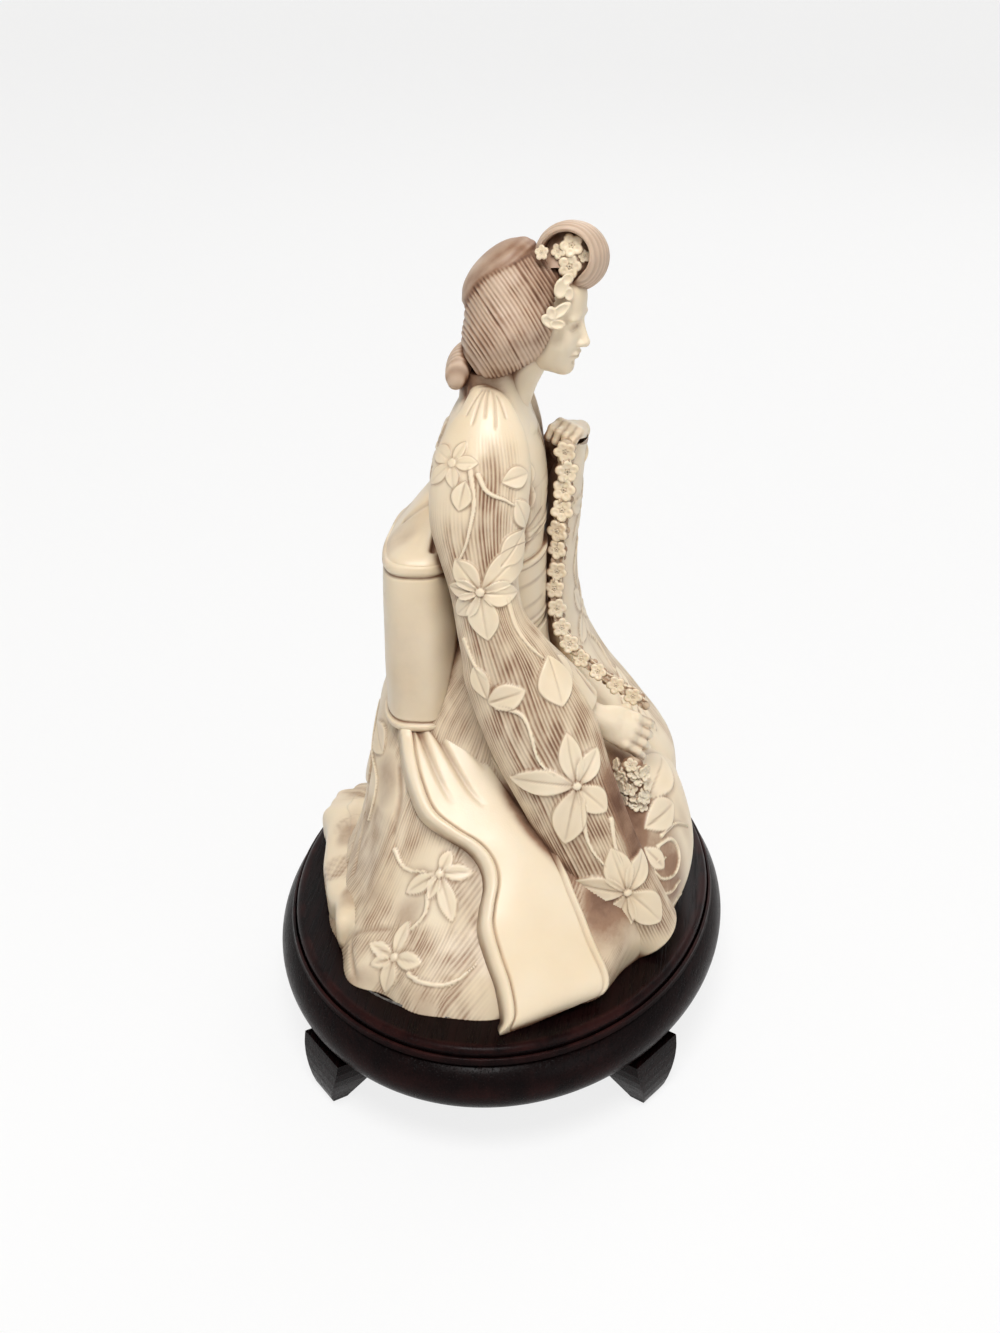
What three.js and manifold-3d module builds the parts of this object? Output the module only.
// A kneeling woman in a flowered kimono, cast in ivory-coloured resin and glued to an oval hardwood stand.
// Millimetres. +Z is up, +X is the way she faces, and the origin is on the floor under the stand's middle.
import * as THREE from "three";
import { mergeVertices } from "three/addons/utils/BufferGeometryUtils.js";
import Module from "manifold-3d";

const wasm = await Module();
wasm.setup();

// Stand
const panelHalfWidth = 50.5;
const panelHalfLength = 71.5;
const panelTop = 28.5;
const panelThickness = 6;
const panelEdgeRound = 1.6;
const panelSeatGap = 0.3;
const rimOverhang = 3.9;
const rimBottom = 12.2;
const rimLedge = 5;
const rimStep = 2;
const rimWall = 7;
const footAngle = 50;
const footWidth = 16;
const footToe = 1.8;
const footToeWidth = 6;
const footFlare = 3.4;
const footDepth = 13;

// Figure
const castingGap = 0.3;
const meshTolerance = 0.03;
const surfaceEase = 0.004;
const figureHeight = 163;
const sashBottom = 70.5;
const sashTop = 89.5;
const sashCord = 1.1;
const collarWall = 1.1;
const hairRollRadius = 7.6;
const hairRollWall = 2.6;
const blossomRadius = 3;
const budRadius = 1.7;

const degrees = Math.PI / 180;

// The figure's tables divide its height into 163 parts and count upwards from the board. Named lengths are turned
// into the same parts where they are used among them.
const unit = figureHeight / 163;
const parts = (length) => length / unit;

function finish(name, color, roughness) {
  return new THREE.MeshStandardMaterial({ name, color, roughness, metalness: 0 });
}

const resin = finish("resin", 0xf1e3c4, 0.42);
const hairResin = finish("stained_resin", 0xc29a80, 0.5);
const hardwood = finish("hardwood", 0x2a1416, 0.35);

// A closed geometry as a solid that can be joined and cut.
function solidOf(geometry) {
  const bare = new THREE.BufferGeometry();
  bare.setAttribute("position", geometry.getAttribute("position"));
  if (geometry.index) bare.setIndex(geometry.index);
  const merged = mergeVertices(bare, 1e-4);
  const triVerts = new Uint32Array(merged.index.array);
  const mesh = { numProp: 3, vertProperties: merged.attributes.position.array, triVerts };
  const solid = new wasm.Manifold(new wasm.Mesh(mesh));
  if (solid.volume() > 0) return solid;
  for (let i = 0; i < triVerts.length; i += 3) {
    [triVerts[i + 1], triVerts[i + 2]] = [triVerts[i + 2], triVerts[i + 1]];
  }
  return new wasm.Manifold(new wasm.Mesh(mesh));
}

function geometryOf(solid) {
  const mesh = solid.getMesh();
  const geometry = new THREE.BufferGeometry();
  geometry.setAttribute("position", new THREE.BufferAttribute(new Float32Array(mesh.vertProperties), 3));
  geometry.setIndex(new THREE.BufferAttribute(new Uint32Array(mesh.triVerts), 1));
  geometry.computeVertexNormals();
  return geometry;
}

// The same solid with every vertex pushed out along its normal, for cutting a neighbour with a gap.
function grown(solid, distance) {
  const geometry = geometryOf(solid);
  const place = geometry.getAttribute("position");
  const normal = geometry.getAttribute("normal");
  for (let i = 0; i < place.count; i++) {
    const out = new THREE.Vector3().fromBufferAttribute(normal, i).multiplyScalar(distance);
    place.setXYZ(i, place.getX(i) + out.x, place.getY(i) + out.y, place.getZ(i) + out.z);
  }
  return solidOf(geometry);
}

function largestBody(solid) {
  return solid.decompose().reduce((best, body) => (body.volume() > best.volume() ? body : best));
}

// A casting seated against its neighbours: each one is cut out of it with the gap that the glue fills. The skin
// is then eased in a little, so that folds of it that meet along one line stay apart.
function seated(solid, ...neighbours) {
  const gapped = neighbours.reduce((rest, neighbour) => rest.subtract(grown(neighbour, castingGap)), solid);
  const clear = neighbours.reduce((rest, neighbour) => rest.subtract(neighbour), gapped.simplify(meshTolerance));
  return grown(largestBody(clear), -surfaceEase);
}

// Everything below the board's face, which flattens the underside of what stands on it.
function underBoard() {
  const reach = parts(3 * panelHalfLength);
  const depth = parts(panelTop);
  return solidOf(new THREE.BoxGeometry(reach, reach, depth).translate(0, 0, -depth / 2));
}

// Numbers between the rows of a table, on a smooth curve through them.
function rowAt(rows, t) {
  const last = rows.length - 1;
  const i = Math.min(Math.floor(t * last), last - 1);
  const f = t * last - i;
  const [a, b, c, d] = [rows[Math.max(i - 1, 0)], rows[i], rows[i + 1], rows[Math.min(i + 2, last)]];
  return b.map((_, k) => 0.5 * (2 * b[k] + (c[k] - a[k]) * f + (2 * a[k] - 5 * b[k] + 4 * c[k] - d[k]) * f * f
    + (3 * b[k] - a[k] - 3 * c[k] + d[k]) * f * f * f));
}

// A form swept through oval sections. A row is x, y, z, then the half-width on the minus and plus side and the
// half-depth on the minus and plus side. The width runs along `side`; upright forms keep their sections level.
function sweep(rows, shape = {}) {
  const { side = [1, 0, 0], steps = 16, around = 24, upright = false } = shape;
  const { domes = [0, 0], fullness = 2, ripple = () => 1 } = shape;
  const rings = [];
  const frameAt = (t) => {
    const before = new THREE.Vector3(...rowAt(rows, Math.max(t - 0.01, 0)));
    const after = new THREE.Vector3(...rowAt(rows, Math.min(t + 0.01, 1)));
    const along = upright ? new THREE.Vector3(0, 0, 1) : after.sub(before).normalize();
    const wide = new THREE.Vector3(...side);
    wide.addScaledVector(along, -wide.dot(along)).normalize();
    return { along, wide, deep: new THREE.Vector3().crossVectors(along, wide) };
  };
  const addRing = (t, shift, scale) => {
    const [x, y, z, left, right, near, far] = rowAt(rows, t);
    const { along, wide, deep } = frameAt(t);
    const centre = new THREE.Vector3(x, y, z).addScaledVector(along, shift);
    const ring = [];
    for (let k = 0; k < around; k++) {
      const angle = (k / around) * 2 * Math.PI;
      const c = Math.cos(angle);
      const s = Math.sin(angle);
      const swell = scale * ripple(angle, t);
      const w = Math.sign(c) * Math.abs(c) ** (2 / fullness) * (c > 0 ? right : left) * swell;
      const d = Math.sign(s) * Math.abs(s) ** (2 / fullness) * (s > 0 ? far : near) * swell;
      ring.push(centre.clone().addScaledVector(wide, w).addScaledVector(deep, d));
    }
    rings.push(ring);
  };
  const domeAngles = [70, 38];
  const addDome = (t, depth, angles) => {
    if (depth) angles.forEach((a) => addRing(t, depth * Math.sin(a * degrees), Math.cos(a * degrees)));
  };
  addDome(0, -domes[0], domeAngles);
  for (let i = 0; i <= steps; i++) addRing(i / steps, 0, 1);
  addDome(1, domes[1], domeAngles.toReversed());
  return solidOf(skin(rings));
}

// Closed skin over a stack of rings, with a fan over each end.
function skin(rings) {
  const around = rings[0].length;
  const points = rings.flat();
  const faces = [];
  for (let i = 0; i + 1 < rings.length; i++) {
    for (let k = 0; k < around; k++) {
      const [a, b] = [i * around + k, i * around + ((k + 1) % around)];
      faces.push(a, b, b + around, a, b + around, a + around);
    }
  }
  const middle = (ring) => ring.reduce((sum, p) => sum.add(p), new THREE.Vector3()).divideScalar(around);
  const first = points.push(middle(rings[0])) - 1;
  const final = points.push(middle(rings.at(-1))) - 1;
  const top = (rings.length - 1) * around;
  for (let k = 0; k < around; k++) {
    const next = (k + 1) % around;
    faces.push(first, next, k, final, top + k, top + next);
  }
  const geometry = new THREE.BufferGeometry().setFromPoints(points);
  geometry.setIndex(faces);
  return geometry;
}

// An oval ring or board: a profile of [offset from the panel's edge, height] carried round the stand's oval.
function ovalTurning(profile, closed, around = 54) {
  const rings = [];
  for (let k = 0; k < around; k++) {
    const angle = (k / around) * 2 * Math.PI;
    rings.push(profile.map(([out, z]) => new THREE.Vector3(
      (panelHalfWidth + out) * Math.cos(angle), (panelHalfLength + out) * Math.sin(angle), z)));
  }
  const points = rings.flat();
  const n = profile.length;
  const faces = [];
  for (let k = 0; k < around; k++) {
    const next = (k + 1) % around;
    for (let i = 0; i + 1 < n + (closed ? 1 : 0); i++) {
      const j = (i + 1) % n;
      faces.push(k * n + i, next * n + i, next * n + j, k * n + i, next * n + j, k * n + j);
    }
    if (!closed) faces.push(points.length, next * n, k * n, points.length + 1, k * n + n - 1, next * n + n - 1);
  }
  if (!closed) points.push(new THREE.Vector3(0, 0, profile[0][1]), new THREE.Vector3(0, 0, profile.at(-1)[1]));
  const geometry = new THREE.BufferGeometry().setFromPoints(points);
  geometry.setIndex(faces);
  return solidOf(geometry);
}

// A quarter or half round in a profile, from one angle to another in degrees.
function arc(out, z, radius, from, to, count = 5) {
  return Array.from({ length: count + 1 }, (_, i) => {
    const angle = (from + ((to - from) * i) / count) * degrees;
    return [out + radius * Math.cos(angle), z + radius * Math.sin(angle)];
  });
}

function standPanel() {
  const bottom = panelTop - panelThickness;
  const edge = arc(-panelEdgeRound, panelTop - panelEdgeRound, panelEdgeRound, 0, 90, 4);
  return ovalTurning([[0, bottom], ...edge], false);
}

// The moulded ring has a ledge that carries the panel, a flat step round it and a full round outside.
function standRim() {
  const ledge = panelTop - panelThickness;
  const stepTop = panelTop - rimStep;
  const roundRadius = (stepTop - 1 - rimBottom) / 2;
  const roundMiddle = rimBottom + roundRadius;
  return ovalTurning([
    [-rimWall, rimBottom],
    [rimOverhang - roundRadius, rimBottom],
    ...arc(rimOverhang - roundRadius, roundMiddle, roundRadius, -80, 62, 6),
    [1.1, stepTop - 0.9],
    [1.1, stepTop],
    [panelSeatGap, stepTop],
    [panelSeatGap, ledge],
    [-rimLedge, ledge],
    [-rimWall, ledge - 3],
  ], true);
}

// A bracket foot: its top follows the ring's round, and it bows out and runs in to a narrow toe.
function standFoot(angle) {
  const roundRadius = (panelTop - rimStep - 1 - rimBottom) / 2;
  const roundMiddle = rimOverhang - roundRadius;
  const side = new THREE.Shape();
  side.moveTo(-footDepth, rimBottom);
  side.lineTo(roundMiddle, rimBottom);
  side.absarc(roundMiddle, rimBottom + roundRadius, roundRadius + 0.1, -90 * degrees, -35 * degrees, false);
  side.bezierCurveTo(footFlare + 0.9, 9, footFlare + 0.9, 2.5, footToe + 0.6, 0);
  side.lineTo(footToe - 3, 0);
  side.bezierCurveTo(footToe - 6, 3, -5.5, 8, -footDepth, rimBottom);
  const front = new THREE.Shape();
  front.moveTo(-footWidth / 2, rimBottom + 1);
  front.bezierCurveTo(-footWidth / 2, 7, -footToeWidth / 2 - 1.5, 3.5, -footToeWidth / 2, -1);
  front.lineTo(footToeWidth / 2, -1);
  front.bezierCurveTo(footToeWidth / 2 + 1.5, 3.5, footWidth / 2, 7, footWidth / 2, rimBottom + 1);
  const sideways = { depth: footWidth, bevelEnabled: false, curveSegments: 7 };
  const outwards = { depth: 3 * footDepth, bevelEnabled: false, curveSegments: 7 };
  const profile = new THREE.ExtrudeGeometry(side, sideways);
  profile.translate(0, 0, -footWidth / 2).rotateX(Math.PI / 2);
  const face = new THREE.ExtrudeGeometry(front, outwards).translate(0, 0, -2 * footDepth);
  face.rotateX(Math.PI / 2).rotateZ(Math.PI / 2);
  const foot = geometryOf(solidOf(profile).intersect(solidOf(face)));
  const outward = Math.atan2(panelHalfWidth * Math.sin(angle), panelHalfLength * Math.cos(angle));
  foot.rotateZ(outward).translate(panelHalfWidth * Math.cos(angle), panelHalfLength * Math.sin(angle), 0);
  return solidOf(foot);
}

// The skirt spreads from the waist over her thighs and knees to the board.
function skirt() {
  const rows = [
    [-5, -5, 0, 36, 47, 56, 50],
    [-5, -5, 7.5, 33.5, 50, 51, 49],
    [-5, -4, 15.5, 30, 51, 44, 46],
    [-5, -3, 23.5, 28, 49.5, 39, 42],
    [-5, -2, 31.5, 27, 46, 34, 37],
    [-5, -1, 38.5, 26, 38, 29, 32],
    [-5, 0, 45.5, 25, 29, 25, 28],
    [-5, 0, 53.5, 23, 19, 21, 24],
    [-4, 0, 62.5, 17, 14.5, 18, 19],
    [-1, 0, parts(sashBottom), 10.5, 11, 15.5, 16],
  ];
  const pleats = (angle) => 0.022 * Math.cos(9 * angle + 1.4) + 0.015 * Math.cos(14 * angle);
  const folds = (angle, t) => 1 + (1 - t) ** 2 * pleats(angle);
  return sweep(rows, { upright: true, steps: 14, around: 44, ripple: folds, fullness: 2.15 });
}

// The hem trails on the board behind her in shallow waves.
function trailingHem() {
  const rows = [
    [-24, 3, 0, 21.3, 20, 49, 23],
    [-24, 3, 3, 21.8, 20, 49, 23.5],
    [-24, 3, 8.5, 21.3, 19, 47, 23],
    [-23.5, 3, 11, 16, 15, 36, 18],
  ];
  const waves = (angle) => 1 + 0.02 * Math.cos(13 * angle) + 0.012 * Math.cos(21 * angle + 1);
  const turned = { side: [0.976, 0.216, 0], upright: true, fullness: 3.2 };
  return sweep(rows, { ...turned, steps: 4, around: 52, ripple: waves });
}

function torso() {
  return sweep([
    [-1, 0, parts(sashTop), 10.5, 11, 15.5, 16],
    [-1, 0, 96.5, 13.5, 11.3, 16.5, 17],
    [-1, 0, 103.5, 15.5, 11.4, 17.5, 18],
    [-1, 0, 111.5, 14, 10, 18, 18.5],
    [-1, 0, 118.5, 11.5, 8, 16, 16.5],
    [-1.5, 0, 123.5, 8.5, 6.4, 11, 11.5],
    [-1.5, 0, 128.5, 6.3, 5.6, 6.6, 6.8],
  ], { upright: true, steps: 10, around: 28 });
}

function obiSash() {
  const height = parts(sashTop - sashBottom);
  const rows = Array.from({ length: 9 }, (_, i) => {
    const t = i / 8;
    const cord = i === 1 || i === 7 ? parts(sashCord) : 0;
    return [-1, 0, parts(sashBottom) + t * height, 10.6 + cord, 11 + cord, 15.6 + cord, 16 + cord];
  });
  return sweep(rows, { upright: true, steps: 8, around: 28 });
}

// The drum knot of the obi: a pillow with upright rounded ends and a top that slopes up to her back.
function obiDrum() {
  return sweep([
    [-18, 0, 49, 8.2, 9.2, 21, 18],
    [-18, 0, 51, 8.9, 9.9, 22, 18.5],
    [-18, 0, 54, 8.4, 9.5, 21.5, 18.2],
    [-18, 0, 70, 8.8, 9.9, 22, 18.5],
    [-18, 0, 88, 8.6, 9.7, 21.8, 18.2],
    [-17.5, 0, 91.5, 8.2, 9.2, 21, 17.6],
    [-15.5, 0, 96.5, 7, 7.5, 15, 13.5],
    [-12.5, 1, 102, 5, 4.6, 9, 9],
  ], { upright: true, steps: 10, around: 28, fullness: 2.9 });
}

// The obi's end falls from under the drum, widens and turns under on the board.
function obiTail() {
  return sweep([
    [-16, -12, 57.5, 7, 7, 3, 3],
    [-12.5, -19.5, 49.5, 8.5, 8.5, 3, 3],
    [-6, -28.5, 41, 10.5, 10.5, 2.8, 2.8],
    [1.5, -37, 30.5, 11.5, 11.5, 2.6, 2.6],
    [8.5, -44, 20.5, 11.5, 11.5, 2.6, 2.6],
    [14.5, -50, 11.5, 13.5, 13.5, 2.8, 2.8],
    [18.3, -53.5, 5.7, 15.5, 15.5, 3.4, 3.4],
  ], { side: [0.86, 0.5, 0.05], steps: 12, around: 20, domes: [0, 3.5], fullness: 3 });
}

// Shoulder, upper arm and the long hanging sleeve with the forearm across it, all one casting.
function nearSleeve() {
  const hanging = sweep([
    [-4.2, -6.5, 126.5, 2.8, 3.4, 2.6, 2.6],
    [-3.2, -9.5, 123.5, 5.6, 6.4, 4.2, 4.2],
    [-2.8, -12.5, 119, 8.8, 9, 5.5, 5.5],
    [-2.6, -16, 112.5, 11, 11, 6.6, 6.6],
    [-2.5, -19, 103.5, 11.5, 12.5, 7, 7],
    [2, -22, 87.5, 11, 11, 7, 7],
    [7, -25, 71.5, 13.5, 10, 7, 7],
    [13, -28, 56.5, 13.5, 11, 7, 7],
    [20, -30, 41.5, 12.5, 9.5, 7, 7],
    [27, -30, 25.5, 12, 8.5, 7.5, 7.5],
    [32, -28, 11.5, 13, 9.5, 8, 8],
    [35, -25, 3.5, 15, 9.5, 9, 9],
  ], { side: [0.93, 0.15, 0.3], steps: 19, around: 22, domes: [1.5, 3] });
  const forearm = sweep([
    [3, -21, 77.5, 7, 7, 7, 7],
    [8, -20, 70.5, 8, 8, 7.5, 7.5],
    [14, -17.5, 63.5, 7, 7, 7, 7],
    [19, -15, 57.5, 5.8, 5.8, 5.8, 5.8],
  ], { side: [0.6, 0, 0.8], steps: 6, around: 16, domes: [4, 0] });
  return hanging.add(forearm);
}

// The far arm is raised to hold up its sleeve, which falls as a curved sheet in front of her and over her lap.
function farSleeve() {
  const arm = sweep([
    [-3.2, 9.5, 123.5, 5.6, 6.4, 4.2, 4.2],
    [-2.8, 12.5, 119, 8.8, 8, 5.5, 5.5],
    [-2.6, 16, 112.5, 10, 9, 6.4, 6.4],
    [-2, 20, 105.5, 9, 9, 6, 6],
    [2, 23, 96.5, 8, 8, 6, 6],
    [8, 20, 99.5, 6, 6, 6, 6],
    [13, 13, 107.5, 5, 5, 5, 5],
  ], { side: [0.93, -0.15, 0.3], steps: 12, around: 16, domes: [1.5, 1] });
  const hanging = sweep([
    [14.5, 13, 110.5, 3, 3, 6, 7],
    [13.5, 14, 98.5, 2.8, 2.8, 8, 10],
    [12.5, 15, 83.5, 2.8, 2.8, 9, 12],
    [12.5, 16, 71.5, 3, 3, 10, 13],
    [14.5, 16, 60.5, 3.2, 3.2, 12, 14],
    [19.5, 15, 50.5, 4, 4, 14, 15],
    [27.5, 12, 41.5, 5, 4.5, 14, 16],
    [36, 9, 31.5, 6, 5, 14, 16],
    [39.5, 7, 19.5, 6, 5, 13, 14],
  ], { upright: true, steps: 14, around: 20, domes: [2, 2] });
  return arm.add(hanging);
}

// A relaxed hand: palm, four curled fingers and a thumb, all from the wrist along +X with the palm facing -Z.
function hand(curl) {
  const palm = sweep([
    [-7, 0, 0, 2.2, 2.2, 1.8, 1.8],
    [-3, 0, 0, 2.1, 2.1, 1.7, 1.7],
    [0, 0, 0, 2.8, 2.8, 1.6, 1.6],
    [4, 0, 0, 3.2, 3.2, 1.5, 1.5],
  ], { side: [0, 1, 0], steps: 5, around: 12, domes: [0, 1] });
  const bend = (length, start) => [0, 1, 2, 3].map((i) => {
    const angle = curl * i;
    return [start + (length * i * Math.cos(angle / 2)) / 3, (-length * i * Math.sin(angle / 2)) / 3];
  });
  const digits = [-2.4, -0.8, 0.8, 2.4].map((y, i) => {
    const rows = bend(6.4 - 0.5 * Math.abs(i - 1.4), 3.6).map(([x, z], k) => {
      const r = 0.95 - 0.09 * k;
      return [x, y * (1 + 0.05 * k), z, r, r, r, r];
    });
    return sweep(rows, { side: [0, 1, 0], steps: 4, around: 7, domes: [0, 0.7] });
  });
  const thumb = sweep([
    [-0.5, -2, -0.8, 1.1, 1.1, 1, 1],
    [2, -3.4, -1.8, 1, 1, 1, 1],
    [4.6, -3.8, -2.8, 0.8, 0.8, 0.8, 0.8],
  ], { side: [0, 1, 0], steps: 3, around: 7, domes: [0, 0.7] });
  return digits.reduce((all, digit) => all.add(digit), palm.add(thumb));
}

// A solid turned about X, Y and Z in degrees and then moved.
function placed(solid, [turnX, turnY, turnZ], at, size = 1) {
  const turn = new THREE.Euler(turnX * degrees, turnY * degrees, turnZ * degrees, "ZYX");
  const grow = new THREE.Matrix4().makeScale(size, size, size);
  const move = new THREE.Matrix4().makeRotationFromEuler(turn).setPosition(...at).multiply(grow);
  return solidOf(geometryOf(solid).applyMatrix4(move));
}

function head() {
  const [x, y, z] = [7.6, 0, 142.5];
  const skull = sweep([
    [x + 3.4, y, z - 15, 4.5, 3.6, 3.2, 3.2],
    [x + 2.2, y, z - 12.5, 8, 7, 5.6, 5.6],
    [x + 1, y, z - 8, 10.5, 9, 7.6, 7.6],
    [x + 0.3, y, z - 2, 11.5, 9.4, 8.5, 8.5],
    [x - 0.5, y, z + 4, 11, 9, 8.4, 8.4],
    [x - 0.8, y, z + 9, 8, 7.5, 6.5, 6.5],
  ], { upright: true, steps: 9, around: 20, domes: [0.8, 2] });
  const nose = sweep([
    [x + 8.6, y, z + 1.5, 1, 0.8, 0.9, 0.9],
    [x + 9.5, y, z - 2, 1.4, 1, 1.1, 1.1],
    [x + 9.9, y, z - 4.6, 1.6, 1.4, 1.5, 1.5],
  ], { upright: true, steps: 3, around: 10, domes: [0.8, 0.8] });
  const neck = sweep([
    [-0.5, 0, 120.5, 5, 5.4, 5.2, 5.2],
    [1, 0, 126.5, 4.6, 4.7, 4.5, 4.5],
    [5, 0, 133.5, 4.8, 5, 4.6, 4.6],
  ], { steps: 4, around: 18 });
  return skull.add(nose).add(neck);
}

// The under-collar stands round the neck, higher at the nape, and the robe's collar lies over it.
function collar() {
  const band = (grow) => sweep([
    [-1, 0, 115.5 - 3 * grow, 10 + grow, 9.5 + grow, 12 + grow, 12 + grow],
    [-1.6, 0, 123.5, 7.6 + grow, 6.6 + grow, 8.2 + grow, 8.2 + grow],
    [-2.4, 0, 130 + 3 * grow, 6.4 + grow, 5.2 + grow, 6.2 + grow, 6.2 + grow],
  ], { side: [0.9, 0, -0.35], steps: 4, around: 24 });
  return band(parts(collarWall)).subtract(band(-0.2));
}

const headTilt = [0.72, 0, 0.69];

// Side wings of combed-back hair that meet behind the head.
function sideHair() {
  return sweep([
    [1.8, -13, 140.4, 8.5, 8.5, 5, 5.5],
    [1.8, -9, 140.4, 11.4, 12, 7.8, 7.8],
    [1.8, 0, 140.4, 12.2, 13, 8.8, 8.8],
    [1.8, 9, 140.4, 11.4, 12, 7.8, 7.8],
    [1.8, 13, 140.4, 8.5, 8.5, 5, 5.5],
  ], { side: headTilt, steps: 8, around: 24, domes: [1.8, 1.8], fullness: 2.2 });
}

function crownBun() {
  return sweep([
    [-1, -7, 150.4, 7, 6, 3.8, 4],
    [-1, 0, 150.6, 10.3, 9.4, 5.4, 6],
    [-1, 7, 150.4, 7, 6, 3.8, 4],
  ], { side: headTilt, steps: 6, around: 20, domes: [2, 2] });
}

function napeRoll() {
  return sweep([
    [-9.5, -6.5, 130.5, 3.8, 3.8, 2.6, 2.6],
    [-9.5, 0, 130.5, 4.6, 4.6, 3.3, 3.3],
    [-9.5, 6.5, 130.5, 3.8, 3.8, 2.6, 2.6],
  ], { side: [0.25, 0, 1], steps: 6, around: 16, domes: [1.2, 1.2] });
}

// The big roll over the forehead, hollowed at both ends for the flower pins.
function frontRoll() {
  const [x, y, z] = [14.6, 0, 155.2];
  const reach = 6;
  const row = (along, radius) => [x, y + along, z - 0.25 * along, radius, radius, radius, radius];
  const near = parts(hairRollRadius);
  const far = 0.75 * near;
  const wall = parts(hairRollWall);
  const rows = [row(-reach, near), row(0, near), row(reach, far)];
  const outside = sweep(rows, { steps: 6, around: 24, domes: [1, 1] });
  const pocket = (from, to, radius) => sweep([row(from, radius), row(to, radius)], { steps: 1, around: 16 });
  const nearPocket = pocket(-2 * reach, -0.3 * reach, near - wall);
  return outside.subtract(nearPocket).subtract(pocket(0.5 * reach, 2 * reach, far - 0.8 * wall));
}

// A five-petalled blossom facing +Z with a button in the middle.
function blossom(radius) {
  const petals = new THREE.Shape();
  const points = 15;
  for (let i = 0; i < points; i++) {
    const angle = (i / points) * 2 * Math.PI;
    const reach = radius * (i % 3 === 1 ? 0.6 : 1);
    if (i === 0) petals.moveTo(reach, 0);
    else petals.lineTo(reach * Math.cos(angle), reach * Math.sin(angle));
  }
  const disc = new THREE.ExtrudeGeometry(petals, { depth: 0.5 * radius, bevelEnabled: false });
  const button = new THREE.ConeGeometry(0.35 * radius, 0.5 * radius, 5).rotateX(Math.PI / 2);
  button.translate(0, 0, 0.4 * radius);
  return solidOf(disc.translate(0, 0, -0.25 * radius)).add(solidOf(button));
}

const garlandPoints = [
  [13.0, 3, 112.5], [13.2, 3, 105.5], [13, 3, 101], [12.3, 2.5, 96.5], [11.3, 2, 90.5], [11, 1.5, 85.5],
  [10.3, 1, 78.5], [12.6, 0, 72.5], [15, -1, 69], [18.5, -2, 65], [22, -3, 62], [26, -4.5, 58.5],
  [30, -5.5, 55], [33.5, -5, 51.5],
];

// A string of blossoms from the raised hand to the hand in her lap.
function garland() {
  const thread = garlandPoints.map((point) => [...point, 1.1, 1.1, 1.1, 1.1]);
  const stem = sweep(thread, { side: [0, 1, 0.2], steps: 14, around: 6 });
  return garlandPoints.reduce((all, at, i) => {
    const turn = [65 + 12 * (i % 3), 0, 20 * ((i % 2) - 0.5)];
    return all.add(placed(blossom(parts(blossomRadius) - 0.35 * (i % 3)), turn, at));
  }, stem);
}

// Small blossoms crowded along a line, as the bunch in her lap and the pins in her hair are.
function sprig(points) {
  return points.reduce((all, [x, y, z, turnX, turnZ, size], i) => {
    const flower = placed(blossom(size * parts(budRadius)), [turnX, 0, turnZ], [x, y, z]);
    return i === 0 ? flower : all.add(flower);
  }, null);
}

const figure = new THREE.Group();
const castings = [];

function add(name, solid, material) {
  const mesh = new THREE.Mesh(geometryOf(solid), material);
  mesh.name = name;
  figure.add(mesh);
}

// Each casting is brought to its size on the board and seated against all the ones before it.
function cast(name, solid, material = resin) {
  const standing = geometryOf(solid).scale(unit, unit, unit).translate(0, 0, panelTop);
  castings.push(seated(solidOf(standing), ...castings));
  add(name, castings.at(-1), material);
}

add("stand_panel", standPanel(), hardwood);
add("stand_rim", standRim(), hardwood);
["right_far", "left_far", "left_near", "right_near"].forEach((corner, i) => {
  add(`stand_foot_${corner}`, standFoot((footAngle + 90 * i) * degrees), hardwood);
});

cast("skirt", skirt());
cast("trailing_hem", trailingHem());
cast("obi_sash", obiSash());
cast("torso", torso());
cast("obi_drum", obiDrum());
cast("obi_tail", obiTail().subtract(underBoard()));
cast("near_sleeve", nearSleeve().subtract(underBoard()));
cast("far_sleeve", farSleeve());
cast("collar", collar());
cast("head", head());
cast("side_hair", sideHair(), hairResin);
cast("crown_bun", crownBun(), hairResin);
cast("nape_roll", napeRoll(), hairResin);
cast("front_roll", frontRoll(), hairResin);
cast("hair_flowers", sprig([
  [13, -5.5, 153, 70, 10, 1.5],
  [16, -5, 157.5, 60, 0, 1.2],
  [17, -5, 152.5, 65, 30, 1.1],
]));
cast("temple_flowers", sprig([
  [11, -9.3, 149, 75, 10, 1.5],
  [8.6, -9.8, 143, 75, -10, 1.5],
  [9.5, -9.6, 146, 80, 0, 1.3],
]));
cast("far_hand", placed(hand(0.75), [0, 20, -40], [14, 9, 113.5]));
cast("garland", garland());
cast("near_hand", placed(hand(0.45), [62, 29, 12], [26.8, -13.6, 50.9], 1.25));
cast("flower_bunch", sprig([
  [31, -18, 40, 60, 30, 1.4],
  [32.5, -17.5, 37, 60, 30, 1.3],
  [31, -19, 34, 60, 30, 1.4],
  [33.5, -18, 31.5, 60, 30, 1.3],
]));

export default figure;
